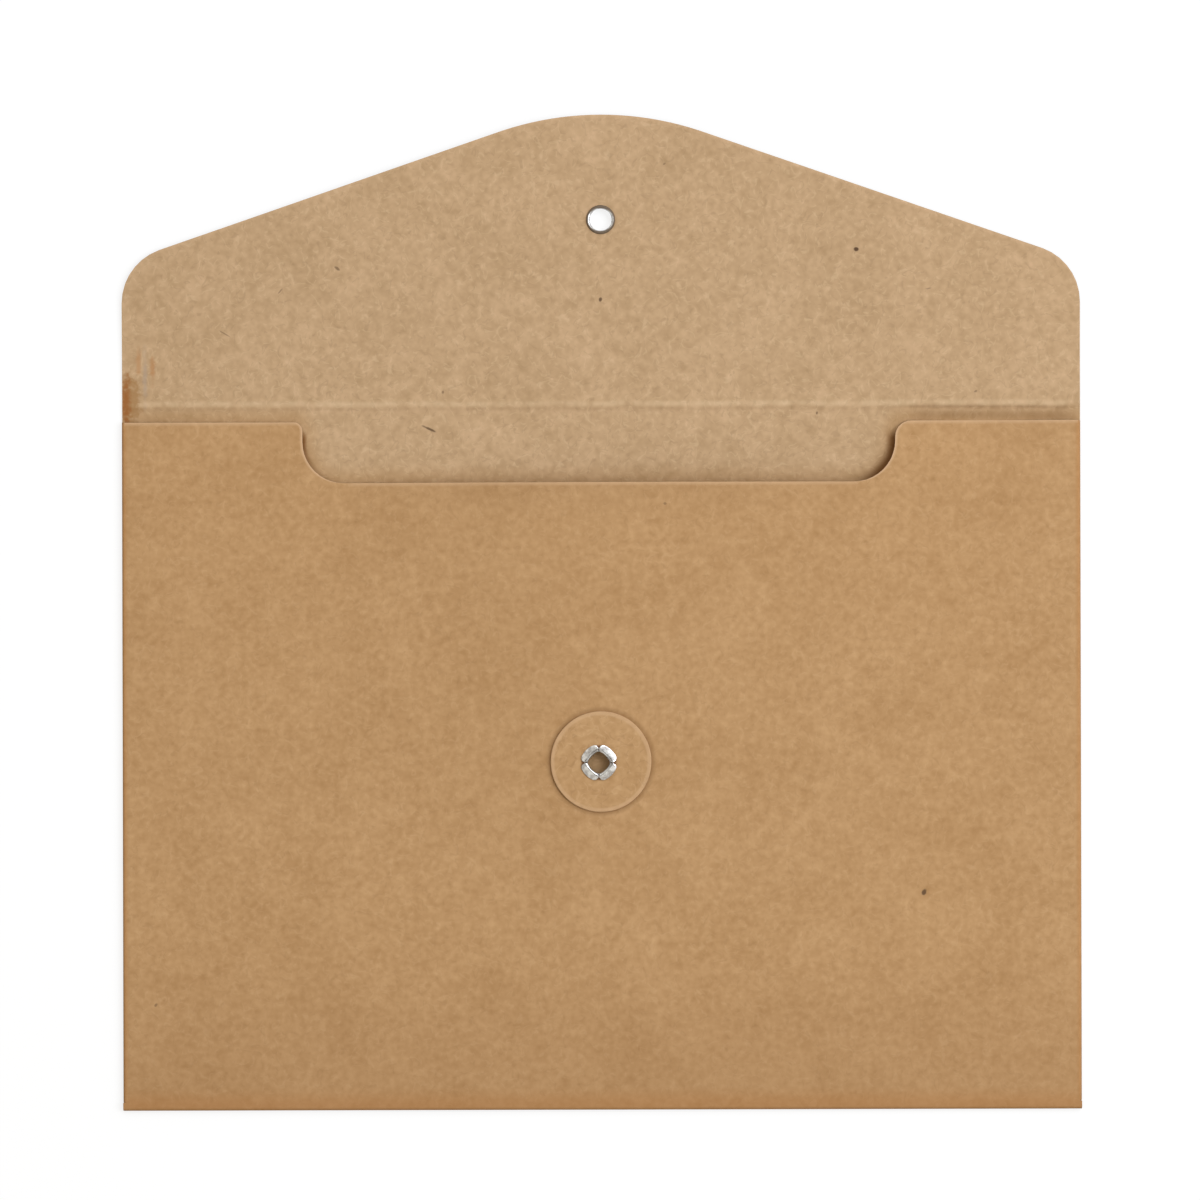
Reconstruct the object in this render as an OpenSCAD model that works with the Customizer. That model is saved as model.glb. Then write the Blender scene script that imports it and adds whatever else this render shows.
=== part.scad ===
// Kraft envelope with a riveted button on its pocket and another on its flap.
// It lies open on its back, with the inside of the flap and the pocket's front facing up.
// The origin is the middle of the whole outline, on the surface that the envelope lies on.
// X runs across the pocket, Y runs from the bottom fold to the flap's tip, and Z is up.

/* [Sheet] */
// Width of the blank at the back panel and the flap
sheet_w = 220; // [190:1:250]
// Thickness of the card
sheet_t = 0.4; // [0.3:0.05:0.5]
// Height of the back panel, from the bottom fold to the flap's crease
pocket_h = 162; // [140:1:190]

/* [Flap] */
// Straight side of the flap, from the crease to the shoulder's sharp corner
flap_side = 32.6; // [28:0.2:40]
// Slope of the flap's two long edges, in degrees
flap_slope = 19; // [15:0.5:22]
// Radius that rounds the flap's tip
flap_tip_r = 72; // [50:1:80]
// Radius that rounds each shoulder
shoulder_r = 13; // [8:0.5:16]
// Width of the bead that the crease raises on the inside
crease_w = 1.2; // [0.8:0.1:2]
// Height of the crease's bead, and depth of the groove under it
crease_h = 0.12; // [0.05:0.01:0.16]

/* [Pocket front] */
// How far below the crease the front panel ends
front_drop = 4; // [2:0.5:8]
// How far the folded front stands out past the back panel at each side
front_overhang = 0; // [-0.4:0.1:0.4]
// Rise of the sprung front panel at the middle of its mouth
mouth_rise = 4; // [1:0.25:6]
// Inside radius of the side folds
side_fold_r = 0.3; // [0.2:0.05:0.6]
// Flat corner of the front panel, between the bottom fold and the start of each side fold
corner_flat = 1; // [0.5:0.1:3]
// Slit that parts that corner from the side fold
corner_slit = 0.15; // [0.1:0.05:0.4]

/* [Thumb notch] */
// Width of the notch in the front panel's top edge
notch_w = 136; // [90:1:150]
// Depth of the notch
notch_d = 14; // [12:0.5:20]
// Radius of the notch's two inner corners
notch_r = 9.5; // [6:0.5:11]
// Radius of the two corners where the notch meets the top edge
lip_r = 2; // [1:0.25:3]

/* [Glue tabs] */
// Width of each side tab, folded in behind the front panel
tab_w = 16; // [10:1:25]
// How far each end of a tab slopes back
tab_taper = 7; // [3:0.5:12]
// How far the glued tab is pressed into the back panel
glue_bite = 0.02; // [0.01:0.01:0.05]

/* [Buttons] */
// Diameter of each paper button
button_d = 23; // [18:0.5:30]
// Thickness of a button
button_t = 0.5; // [0.3:0.05:0.8]
// Rounding of the button's die-cut rim
button_rim_r = 0.12; // [0.05:0.01:0.14]
// Pocket button's centre above the bottom fold
pocket_button_up = 80; // [60:0.1:100]
// Flap button's centre below the flap's tip
flap_button_down = 24; // [18:0.5:32]

/* [Eyelets] */
// Diameter of the hole down the middle of an eyelet
eyelet_bore_d = 5; // [4.4:0.1:5.2]
// Thickness of the eyelet's metal
eyelet_t = 0.25; // [0.2:0.05:0.3]
// Diameter of the round flange on the inside of the paper
flange_d = 7; // [6.6:0.1:9]
// Height of the rolled flange
flange_t = 0.4; // [0.3:0.05:0.45]
// How far each petal's fold cuts into the round hole
petal_inset = 0.35; // [0.2:0.05:0.5]
// Length of each petal's flat part, past its bend
petal_l = 1.45; // [1.2:0.05:1.8]
// Growth of a petal's half width along its flat part
petal_flare = 0.85; // [0.5:0.05:0.95]
// Gap between neighbouring petals at the edge of the hole
slit_w = 0.45; // [0.3:0.05:0.8]
// Slope of a set petal down to the button, in degrees
petal_slope = 10; // [5:1:14]
// Gap between the barrel and the holes in the paper
barrel_gap = 0.05; // [0.03:0.01:0.15]
// Gap left under a flange and under a button, where the paper isn't quite flat
seat_gap = 0.05; // [0.02:0.01:0.15]

/* [Hidden] */
$fn = 96;
// How far a cutter runs past what it cuts
past = 2;

// Levels of the folded layers, counted up from the surface
tab_z = sheet_t - glue_bite;
tab_top_z = tab_z + sheet_t;
side_fold_z = tab_top_z + side_fold_r;
front_z = side_fold_z + side_fold_r;
bottom_fold_r = (front_z - sheet_t) / 2;
bottom_fold_outer_r = bottom_fold_r + sheet_t;

// Plan of the pocket's front, with y = 0 at the outside of the bottom fold
front_h = pocket_h - front_drop;
front_half_w = sheet_w / 2 + front_overhang - side_fold_r - sheet_t;
front_y0 = bottom_fold_outer_r;
front_columns = 24;
front_rows = 16;

// Plan of the flap, with y = 0 at the crease
sharp_tip_y = flap_side + sheet_w / 2 * tan(flap_slope);
flap_h = sharp_tip_y - flap_tip_r * (1 / cos(flap_slope) - 1);
shoulder_tangent = shoulder_r * tan((90 - flap_slope) / 2);
overall_h = pocket_h + flap_h;
flap_button_up = flap_h - flap_button_down;

// Eyelet sizes that follow from the bore and the metal
bore_r = eyelet_bore_d / 2;
barrel_r = bore_r + eyelet_t;
paper_hole_r = barrel_r + barrel_gap;
petal_bend_r = 0.15;
petal_root_x = bore_r - petal_inset;
petal_root_w = 2 * petal_root_x - sqrt(2) * slit_w;
petal_axis_x = petal_root_x + eyelet_t + petal_bend_r;
petal_axis_z = petal_l * sin(petal_slope) - petal_bend_r * cos(petal_slope);
petal_h = petal_axis_z + petal_bend_r + eyelet_t;
petal_reach = petal_axis_x + (petal_bend_r + eyelet_t) * sin(petal_slope) + petal_l * cos(petal_slope);
throat_h = 0.3;

// The flap leans on the petals of its own eyelet, which lifts it from the surface
button_depth = seat_gap + button_t + petal_h;
flap_rise = atan(button_depth / (flap_button_up - petal_reach));

// Height of any point of the front panel's underside, as share of the mouth's rise
function across(x) = pow(1 - pow(x / front_half_w, 2), 2);
function along(s) = s * s * s * (4 - 3 * s);
function depth_share(y) = (y - front_y0) / (front_h - front_y0);
function front_lift(x, y) = mouth_rise * across(x) * along(depth_share(y));
function front_pitch(y) =
    let (s = depth_share(y))
    atan(mouth_rise * 12 * s * s * (1 - s) / (front_h - front_y0));

// A strip of sheet bent about the Y axis. It starts below the axis and turns up towards +X and over.
module bend(turn, inner_r, thick, width)
    rotate([90, 0, 0])
        rotate([0, 0, -90])
            rotate_extrude(angle = turn)
                translate([inner_r, -width / 2]) square([thick, width]);

// A slab of even thickness whose underside follows heights[row][column] over the given rows and columns
module height_slab(xs, ys, heights, thick) {
    columns = len(xs);
    rows = len(ys);
    count = columns * rows;
    points = [
        for (rise = [0, thick]) for (j = [0 : rows - 1]) for (i = [0 : columns - 1])
            [xs[i], ys[j], heights[j][i] + rise]
    ];
    rim = concat(
        [for (i = [0 : columns - 1]) i],
        [for (j = [1 : rows - 1]) j * columns + columns - 1],
        [for (i = [columns - 2 : -1 : 0]) (rows - 1) * columns + i],
        [for (j = [rows - 2 : -1 : 1]) j * columns]
    );
    skin = [
        for (j = [0 : rows - 2]) for (i = [0 : columns - 2])
            let (a = j * columns + i, b = a + 1, c = a + columns, d = c + 1)
            each [[a, b, d], [a, d, c]]
    ];
    upper = [for (f = skin) [f[2] + count, f[1] + count, f[0] + count]];
    edge = [
        for (k = [0 : len(rim) - 1])
            let (a = rim[k], b = rim[(k + 1) % len(rim)])
            each [[a, b + count, b], [a, a + count, b + count]]
    ];
    polyhedron(points = points, faces = concat(skin, upper, edge));
}

// Outline of the flap and the back panel from above, with the sharp corners rounded by arcs
module plan_outline() {
    shoulder_x = sheet_w / 2 - shoulder_r;
    shoulder_y = flap_side - shoulder_tangent;
    slope_start_x = shoulder_x + shoulder_r * sin(flap_slope);
    slope_start_y = shoulder_y + shoulder_r * cos(flap_slope);
    tip_centre_y = flap_h - flap_tip_r;
    slope_end_x = flap_tip_r * sin(flap_slope);
    slope_end_y = tip_centre_y + flap_tip_r * cos(flap_slope);
    translate([0, pocket_h]) {
        polygon([
            [-sheet_w / 2, -past],
            [sheet_w / 2, -past],
            [sheet_w / 2, shoulder_y],
            [slope_start_x, slope_start_y],
            [slope_end_x, slope_end_y],
            [-slope_end_x, slope_end_y],
            [-slope_start_x, slope_start_y],
            [-sheet_w / 2, shoulder_y]
        ]);
        for (side = [-1, 1])
            translate([side * shoulder_x, shoulder_y]) circle(r = shoulder_r);
        intersection() {
            translate([0, tip_centre_y]) circle(r = flap_tip_r, $fn = 256);
            translate([-slope_end_x, slope_end_y - past]) square([2 * slope_end_x, flap_h]);
        }
    }
    translate([-sheet_w / 2, 0]) square([sheet_w, pocket_h]);
}

// Section through the bottom fold, the back panel, the crease and the flap, drawn with Y across and Z up
module side_profile() {
    bead_r = (pow(crease_w / 2, 2) + pow(crease_h, 2)) / (2 * crease_h);
    difference() {
        union() {
            translate([front_y0, 0]) square([pocket_h - front_y0, sheet_t]);
            translate([pocket_h, 0]) rotate(flap_rise) square([flap_h + past, sheet_t]);
            intersection() {
                translate([pocket_h, sheet_t + crease_h - bead_r]) circle(r = bead_r);
                translate([pocket_h - crease_w, sheet_t / 2]) square([2 * crease_w, sheet_t]);
            }
        }
        translate([pocket_h, crease_h - bead_r]) circle(r = bead_r);
    }
}

// The back panel and the flap, cut from the section by the outline
module back_and_flap()
    intersection() {
        translate([-sheet_w / 2 - past, 0, 0])
            rotate([90, 0, 90])
                linear_extrude(sheet_w + 2 * past) side_profile();
        translate([0, 0, -past])
            linear_extrude(flap_h * sin(flap_rise) + sheet_t + 2 * past) plan_outline();
    }

// The fold along the bottom, which turns the sheet up and over, with the two flat corners above it
module bottom_fold() {
    translate([0, front_y0, bottom_fold_outer_r])
        rotate([0, 0, -90])
            bend(180, bottom_fold_r, sheet_t, sheet_w);
    for (corner_x = [-sheet_w / 2, front_half_w])
        translate([corner_x, front_y0, front_z])
            cube([sheet_w / 2 - front_half_w, corner_flat, sheet_t]);
}

// Shape of the thumb notch from above, with y = 0 at the front panel's top edge
module notch_shape() {
    half = notch_w / 2;
    translate([-half, notch_r - notch_d]) square([notch_w, notch_d]);
    translate([notch_r - half, -notch_d]) square([notch_w - 2 * notch_r, notch_d]);
    for (side = [-1, 1]) {
        translate([side * (half - notch_r), notch_r - notch_d]) circle(r = notch_r);
        difference() {
            translate([side * half - lip_r, -lip_r]) square([2 * lip_r, 2 * lip_r]);
            translate([side * (half + lip_r), -lip_r]) circle(r = lip_r);
        }
    }
}

// The sprung front panel, held down along its folds and open at the mouth
module front_panel() {
    xs = [for (i = [0 : front_columns]) front_half_w * (2 * i / front_columns - 1)];
    ys = [for (j = [0 : front_rows]) front_y0 + (front_h - front_y0) * j / front_rows];
    heights = [for (y = ys) [for (x = xs) front_z + front_lift(x, y)]];
    difference() {
        height_slab(xs, ys, heights, sheet_t);
        translate([0, front_h, 0])
            linear_extrude(front_z + mouth_rise + sheet_t + past) notch_shape();
        at_pocket_button() paper_hole();
    }
}

// A side fold with its glue tab, on the +X side
module side_tab() {
    fold_y0 = front_y0 + corner_flat + corner_slit;
    fold_l = front_h - fold_y0;
    translate([front_half_w, fold_y0 + fold_l / 2, side_fold_z])
        bend(180, side_fold_r, sheet_t, fold_l);
    translate([0, 0, tab_z])
        linear_extrude(sheet_t)
            polygon([
                [front_half_w, fold_y0],
                [front_half_w, front_h],
                [front_half_w - tab_w, front_h - tab_taper],
                [front_half_w - tab_w, fold_y0 + tab_taper]
            ]);
}

module folded_sheet()
    color("#bb9368")
        difference() {
            union() {
                back_and_flap();
                bottom_fold();
                front_panel();
                side_tab();
                mirror([1, 0, 0]) side_tab();
            }
            at_flap_button() paper_hole();
        }

// Frames at the two buttons. Z = 0 is the inside face of the paper, and +Z points out through the button.
module at_pocket_button()
    translate([0, pocket_button_up, front_z + front_lift(0, pocket_button_up)])
        rotate([front_pitch(pocket_button_up), 0, 0])
            children();

module at_flap_button()
    translate([0, pocket_h, 0])
        rotate([flap_rise, 0, 0])
            translate([0, flap_button_up, sheet_t])
                rotate([180, 0, 0])
                    children();

// Cutter for the hole that an eyelet's barrel goes through
module paper_hole()
    translate([0, 0, -past]) cylinder(r = paper_hole_r, h = sheet_t + 2 * past);

// A die-cut paper disc with a slightly rounded rim, on the outside face of the paper
module button()
    translate([0, 0, sheet_t + seat_gap])
        rotate_extrude() {
            translate([paper_hole_r, 0])
                square([button_d / 2 - paper_hole_r - button_rim_r, button_t]);
            translate([button_d / 2 - 2 * button_rim_r, button_rim_r])
                square([2 * button_rim_r, button_t - 2 * button_rim_r]);
            for (z = [button_rim_r, button_t - button_rim_r])
                translate([button_d / 2 - button_rim_r, z]) circle(r = button_rim_r);
        }

// One petal of the split barrel, bent out over the button, with z = 0 at the button's face
module petal() {
    tip_w = petal_root_w + 2 * petal_flare * petal_l;
    translate([petal_axis_x, 0, petal_axis_z]) {
        rotate([0, petal_slope - 180, 0])
            bend(90 + petal_slope, petal_bend_r, eyelet_t, petal_root_w);
        rotate([0, petal_slope, 0])
            translate([0, 0, petal_bend_r])
                linear_extrude(eyelet_t)
                    intersection() {
                        translate([-petal_axis_x, 0]) circle(r = petal_axis_x + petal_l);
                        polygon([
                            [0, -petal_root_w / 2],
                            [petal_l, -tip_w / 2],
                            [petal_l, tip_w / 2],
                            [0, petal_root_w / 2]
                        ]);
                    }
    }
    translate([petal_root_x, -petal_root_w / 2, 0]) cube([eyelet_t, petal_root_w, petal_axis_z]);
}

// Joins the round barrel to the straight fold of one petal, just below the button's face
module throat()
    translate([0, 0, -throat_h])
        linear_extrude(throat_h)
            intersection() {
                circle(r = barrel_r);
                translate([petal_root_x, -barrel_r]) square([barrel_r, 2 * barrel_r]);
            }

// A tubular eyelet: a flange under the paper, a barrel through it, and four petals set over the button
module eyelet() {
    stack_h = sheet_t + seat_gap + button_t;
    color("#c9cbcd") {
        rotate_extrude() {
            translate([bore_r, -seat_gap - flange_t / 2])
                square([eyelet_t, stack_h + seat_gap + flange_t / 2]);
            translate([bore_r + flange_t / 2, -seat_gap - flange_t])
                square([flange_d / 2 - bore_r - flange_t, flange_t]);
            for (r = [bore_r + flange_t / 2, flange_d / 2 - flange_t / 2])
                translate([r, -seat_gap - flange_t / 2]) circle(d = flange_t);
        }
        for (turn = [45 : 90 : 315])
            translate([0, 0, stack_h])
                rotate([0, 0, turn]) {
                    petal();
                    throat();
                }
    }
}

module pocket_button() color("#b99266") at_pocket_button() button();
module flap_button() color("#b99266") at_flap_button() button();
module pocket_eyelet() at_pocket_button() eyelet();
module flap_eyelet() at_flap_button() eyelet();

translate([0, -overall_h / 2, 0]) {
    folded_sheet();
    pocket_button();
    pocket_eyelet();
    flap_button();
    flap_eyelet();
}
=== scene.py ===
"""Looks of the kraft button envelope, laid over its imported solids. Frame lengths are in metres."""
import math

import bmesh
import bpy
from mathutils import Matrix, Vector, noise


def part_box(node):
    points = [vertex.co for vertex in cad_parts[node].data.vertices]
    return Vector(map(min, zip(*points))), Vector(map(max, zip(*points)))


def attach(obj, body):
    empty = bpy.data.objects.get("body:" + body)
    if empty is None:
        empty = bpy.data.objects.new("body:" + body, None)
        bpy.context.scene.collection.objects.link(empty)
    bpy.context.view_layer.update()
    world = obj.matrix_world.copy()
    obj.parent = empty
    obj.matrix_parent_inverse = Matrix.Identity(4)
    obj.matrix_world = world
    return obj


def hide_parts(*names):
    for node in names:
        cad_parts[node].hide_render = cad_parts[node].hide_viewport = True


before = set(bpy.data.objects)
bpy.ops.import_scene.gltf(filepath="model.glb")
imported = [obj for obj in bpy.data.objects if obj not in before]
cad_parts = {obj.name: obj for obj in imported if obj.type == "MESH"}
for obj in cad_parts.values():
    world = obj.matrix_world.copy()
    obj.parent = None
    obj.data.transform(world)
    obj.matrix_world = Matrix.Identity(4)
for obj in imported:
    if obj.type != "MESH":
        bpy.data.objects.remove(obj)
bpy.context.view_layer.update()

# Camera
# The envelope lies on its back and is seen from straight above, from a little under a metre away.
# The middle of the picture lies slightly above the middle of the outline, towards the flap.
PICTURE_WIDTH = 0.2758
PICTURE_MIDDLE = (-0.00034, 0.00286)
CAMERA_ROLL = math.radians(-0.14)
CAMERA_HEIGHT = 0.95
SENSOR_WIDTH = 36.0

camera_data = bpy.data.cameras.new("overhead_camera")
camera_data.sensor_width = SENSOR_WIDTH
camera_data.lens = SENSOR_WIDTH * CAMERA_HEIGHT / PICTURE_WIDTH
camera_data.clip_end = 10.0
camera = bpy.data.objects.new("overhead_camera", camera_data)
camera.location = (*PICTURE_MIDDLE, CAMERA_HEIGHT)
camera.rotation_euler[2] = CAMERA_ROLL
bpy.context.collection.objects.link(camera)
bpy.context.scene.camera = camera

# Folded sheet: sizes
# One die-cut sheet of brown kraft card. From the flap's tip it runs over the scored crease, down
# the back, round the bottom fold and up the front. The front's two side tabs are folded in and
# glued to the back. Sizes are in millimetres, with y counted from the bottom fold.
MM = 0.001
CARD = 0.4
HALF_WIDTH = 110.0
POCKET_HEIGHT = 162.0
FLAP_SIDE = 32.6
FLAP_SLOPE = math.radians(19.0)
FLAP_TIP_R = 72.0
SHOULDER_R = 13.0
FRONT_DROP = 4.0
FRONT_SKEW = math.radians(0.04)
SIDE_FOLD_R = 0.5
CORNER_FLAT = 1.0
CORNER_SLIT = 0.15
NOTCH_HALF = 68.0
NOTCH_SHIFT = -0.58
NOTCH_DEPTH = 14.0
NOTCH_R = 9.5
LEFT_LIP_R = 2.0
RIGHT_LIP_R = 3.8
TAB_WIDTH = 16.0
TAB_TAPER = 7.0
GLUE_BITE = 0.02
POCKET_BUTTON_UP = 80.0
FLAP_BUTTON_DOWN = 24.0
BUTTON_THICK = 0.5
SEAT_GAP = 0.05
EYELET_HOLE_R = 2.8
POCKET_BUTTON_SIDE = -0.2
POCKET_EYELET_SHIFT = (-0.5, -0.2)

MOUTH_RISE = 4.0
MOUTH_SETTLE = 0.5
EAR_TUCK = 1.4
LEFT_DIP = 0.45
WAVE_HEIGHT = 0.5
WAVE_LENGTH = 45.0
PALE_RIM = 0.9
CREASE_ABOVE = 1.5
CREASE_BELOW = 3.0
BEAD_HEIGHT = 0.13
GROOVE_DEPTH = 0.15
SECOND_BEAD_HEIGHT = 0.03
DOUBLED_FROM = 64.0
DOUBLED_TO = 106.0
RIVET_HOLDS_R = 12.0
RIVET_HOLDS_UP = 13.0
CLOSE_LEFT_FROM = 10.0
CLOSE_LEFT_OVER = 52.0
TUCK_FROM = 58.0
DIP_FROM = 40.0
TAUT_WIDTH = 25.0
FOLD_STEPS = 10
TAB_STEPS = 8
SOFT_EDGE = 0.07
SHARP_ANGLE = math.radians(40)
TINY = 0.001

BOTTOM_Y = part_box("folded_sheet")[0][1] / MM
TAB_MID_Z = 1.5 * CARD - GLUE_BITE
FRONT_MID_Z = TAB_MID_Z + 2 * SIDE_FOLD_R
BOTTOM_FOLD_R = (FRONT_MID_Z - CARD / 2) / 2
FRONT_START = BOTTOM_FOLD_R + CARD / 2
FRONT_HEIGHT = POCKET_HEIGHT - FRONT_DROP
FRONT_HALF = HALF_WIDTH - SIDE_FOLD_R - CARD / 2
NOTCH_FOOT_X = NOTCH_HALF - NOTCH_R
NOTCH_FOOT_Y = FRONT_HEIGHT - NOTCH_DEPTH
FLAP_POINT = FLAP_SIDE + HALF_WIDTH * math.tan(FLAP_SLOPE)
FLAP_HEIGHT = FLAP_POINT - FLAP_TIP_R * (1 / math.cos(FLAP_SLOPE) - 1)
SHOULDER_X = HALF_WIDTH - SHOULDER_R
SHOULDER_Y = FLAP_SIDE - SHOULDER_R * math.tan((math.pi / 2 - FLAP_SLOPE) / 2)
FLAP_BUTTON_UP = FLAP_HEIGHT - FLAP_BUTTON_DOWN

# The open flap leans on the button and eyelet that hang under it, so its lean follows from them
flap_button_low, flap_button_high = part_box("flap_button")
flap_button_z = (flap_button_low[2] + flap_button_high[2]) / 2 / MM
FLAP_LEAN = math.asin((flap_button_z + SEAT_GAP + BUTTON_THICK / 2) / FLAP_BUTTON_UP)


# Folded sheet: mesh of the card's middle layer
# Each row of points runs across the sheet, and the rows follow it from the flap's tip to the front's
# top edge. The shares that a point carries tell the springing and the materials where it lies.
def smooth(t):
    """A share from 0 to 1 that starts and ends gently."""
    t = min(max(t, 0.0), 1.0)
    return t * t * (3 - 2 * t)


def evenly(start, end, steps):
    """Numbers from start to end, both included."""
    return [start + (end - start) * k / steps for k in range(steps + 1)]


def flap_edge(x):
    """Height of the flap's cut edge above the crease."""
    x = abs(x)
    if x > SHOULDER_X + SHOULDER_R * math.sin(FLAP_SLOPE):
        return SHOULDER_Y + math.sqrt(max(SHOULDER_R**2 - (x - SHOULDER_X) ** 2, 0))
    if x < FLAP_TIP_R * math.sin(FLAP_SLOPE):
        return FLAP_HEIGHT - FLAP_TIP_R + math.sqrt(FLAP_TIP_R**2 - x**2)
    return FLAP_POINT - x * math.tan(FLAP_SLOPE)


def crease_relief(x, y):
    """Bead and groove that the score leaves. It is uneven, and at the right it has a second line."""
    wander = 0.2 * noise.noise(Vector((x / 9, 2.0, 0)))
    firm = 0.8 + 0.7 * noise.noise(Vector((x / 3.5, 5.0, 0)))
    doubled = smooth((x - DOUBLED_FROM) / 8) * smooth((DOUBLED_TO - x) / 4)
    bead = BEAD_HEIGHT * firm * smooth(1 - abs(y + 0.4 * (1 - doubled) - wander) / 1.1)
    groove = GROOVE_DEPTH * doubled * smooth(1 - abs(y + 1.0 - wander) / 0.75)
    second = SECOND_BEAD_HEIGHT * doubled * smooth(1 - abs(y + 1.6 - wander) / 0.6)
    lift = (0.14 + 0.25 * smooth((x - 40) / 40)) * smooth(1 - abs(y) / 14)
    return bead - groove + second + lift


def sprung_share(share):
    """Share of the front's rise at a share of its height: little below the button, most above."""
    return share**4 * (5 - 4 * share)


def held(x, y, centre_y):
    """0 round a riveted button and 1 away from it."""
    return smooth((math.hypot(x, y - centre_y) - RIVET_HOLDS_R) / TAUT_WIDTH)


def notch_side(y, side):
    """Half width of the thumb notch at a height above the bottom fold, on side -1 or 1."""
    half = NOTCH_HALF + side * NOTCH_SHIFT
    lip_r = LEFT_LIP_R if side < 0 else RIGHT_LIP_R
    if y < NOTCH_FOOT_Y + NOTCH_R:
        drop = NOTCH_FOOT_Y + NOTCH_R - y
        return half - NOTCH_R + math.sqrt(max(NOTCH_R**2 - drop**2, 0))
    if y > FRONT_HEIGHT - lip_r:
        rise = y - FRONT_HEIGHT + lip_r
        return half + lip_r - math.sqrt(max(lip_r**2 - rise**2, 0))
    return half


def place_object(name, shape):
    """Puts a shape into the scene as an object of its own."""
    mesh = bpy.data.meshes.new(name)
    shape.to_mesh(mesh)
    shape.free()
    piece = bpy.data.objects.new(name, mesh)
    bpy.context.collection.objects.link(piece)
    return piece


class CardPoint:
    """One point of the sheet, with the shares that shape and colour it there."""

    def __init__(self, x, y, z, **shares):
        self.place = Vector((x, y + BOTTOM_Y, z)) * MM
        self.shares = shares


shoulder_columns = [SHOULDER_X + SHOULDER_R * math.sin(t) for t in evenly(0, math.pi / 2, 9)[1:]]
right_columns = sorted(
    evenly(0, NOTCH_FOOT_X, 26)[1:]
    + [NOTCH_FOOT_X + PALE_RIM]
    + evenly(NOTCH_FOOT_X, SHOULDER_X, 17)[1:]
    + shoulder_columns[:-1]
    + [HALF_WIDTH - PALE_RIM, HALF_WIDTH]
)
columns = [-x for x in reversed(right_columns)] + [0.0] + right_columns


def flap_point(x, y, rim):
    """A point of the flap, with y counted from the crease."""
    slack = smooth(y / 20) * held(x, y, FLAP_BUTTON_UP)
    z = CARD / 2 + y * math.tan(FLAP_LEAN) + crease_relief(x, y)
    return CardPoint(x, POCKET_HEIGHT + y, z, slack=slack, rim=rim)


def flap_row(share):
    """One row of the flap, from the crease's reach at 0 to the cut edge at 1."""
    heights = [CREASE_ABOVE + share * (flap_edge(x) - PALE_RIM - CREASE_ABOVE) for x in columns]
    return {
        k: flap_point(x, heights[k], float(abs(x) == HALF_WIDTH)) for k, x in enumerate(columns)
    }


def back_row(y):
    """One row of the crease or the back panel, with y counted from the crease."""
    lean = max(y, 0) * math.tan(FLAP_LEAN)
    return {
        k: CardPoint(
            x,
            POCKET_HEIGHT + y,
            CARD / 2 + lean + crease_relief(x, y),
            rim=float(abs(x) == HALF_WIDTH),
        )
        for k, x in enumerate(columns)
    }


def bottom_fold_row(turn):
    """One row of the bottom fold, from 0 at the back to pi at the front."""
    y = FRONT_START - BOTTOM_FOLD_R * math.sin(turn)
    z = CARD / 2 + BOTTOM_FOLD_R * (1 - math.cos(turn))
    return {k: CardPoint(x, y, z) for k, x in enumerate(columns)}


def front_point(x, y, rim=0.0):
    """A point of the front panel, with its shares of the springing."""
    along = sprung_share((y - FRONT_START) / (FRONT_HEIGHT - FRONT_START))
    across = (1 - min(abs(x) / FRONT_HALF, 1.0) ** 2) ** 2
    kept = 1 - smooth((-x - CLOSE_LEFT_FROM) / CLOSE_LEFT_OVER)
    tucked = smooth((x - TUCK_FROM) / 12) * smooth((FRONT_HALF - x) / TAUT_WIDTH)
    tucked *= smooth((y - NOTCH_FOOT_Y - 2) / 12)
    dipped = smooth((-x - DIP_FROM) / 26) * smooth((FRONT_HALF + x) / 30) * along
    above_button = POCKET_BUTTON_UP + RIVET_HOLDS_UP
    settled = across * kept * smooth((y - above_button) / (FRONT_HEIGHT - above_button))
    slack = smooth((FRONT_HALF - abs(x)) / TAUT_WIDTH) * smooth((y - FRONT_START) / TAUT_WIDTH)
    slack *= held(x, y, POCKET_BUTTON_UP)
    return CardPoint(
        x,
        y + math.tan(FRONT_SKEW) * x * y / FRONT_HEIGHT,
        FRONT_MID_Z,
        sprung=across * along * kept,
        settled=settled,
        tucked=tucked,
        dipped=dipped,
        slack=slack,
        rim=rim,
    )


def front_row(y, notched=False, rim=0.0):
    """One row of the front with its side folds and tabs, across the notch or below it."""
    row = {}
    for k, column in enumerate(columns):
        x = min(abs(column), SHOULDER_X)
        x += max(abs(column) - SHOULDER_X, 0) * (FRONT_HALF - SHOULDER_X) / SHOULDER_R
        at_rim = rim
        if notched:
            if x < NOTCH_FOOT_X - TINY:
                continue
            share = (x - NOTCH_FOOT_X) / (FRONT_HALF - NOTCH_FOOT_X)
            half = notch_side(y, math.copysign(1, column))
            x = half + share * (FRONT_HALF - half)
            at_rim = max(0.8 - (FRONT_HEIGHT - y) / PALE_RIM, float(share < TINY))
        elif x > NOTCH_FOOT_X + TINY:
            at_rim = 0.0
        row[k] = front_point(math.copysign(x, column), y, at_rim)
    tab_middle = (side_fold_start + FRONT_HEIGHT) / 2
    taper = TAB_TAPER / (FRONT_HEIGHT - tab_middle)
    for side in (-1, 1):
        for k, turn in enumerate(evenly(0, math.pi, FOLD_STEPS)[1:]):
            x = side * (FRONT_HALF + SIDE_FOLD_R * math.sin(turn))
            z = FRONT_MID_Z - SIDE_FOLD_R * (1 - math.cos(turn))
            row["fold", side, k] = CardPoint(x, y, z)
        for k, share in enumerate(evenly(0, 1, TAB_STEPS)[1:]):
            tab_y = tab_middle + (y - tab_middle) * (1 - share * taper)
            x = side * (FRONT_HALF - TAB_WIDTH * share)
            row["tab", side, k] = CardPoint(x, tab_y, TAB_MID_Z)
    return row


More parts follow.
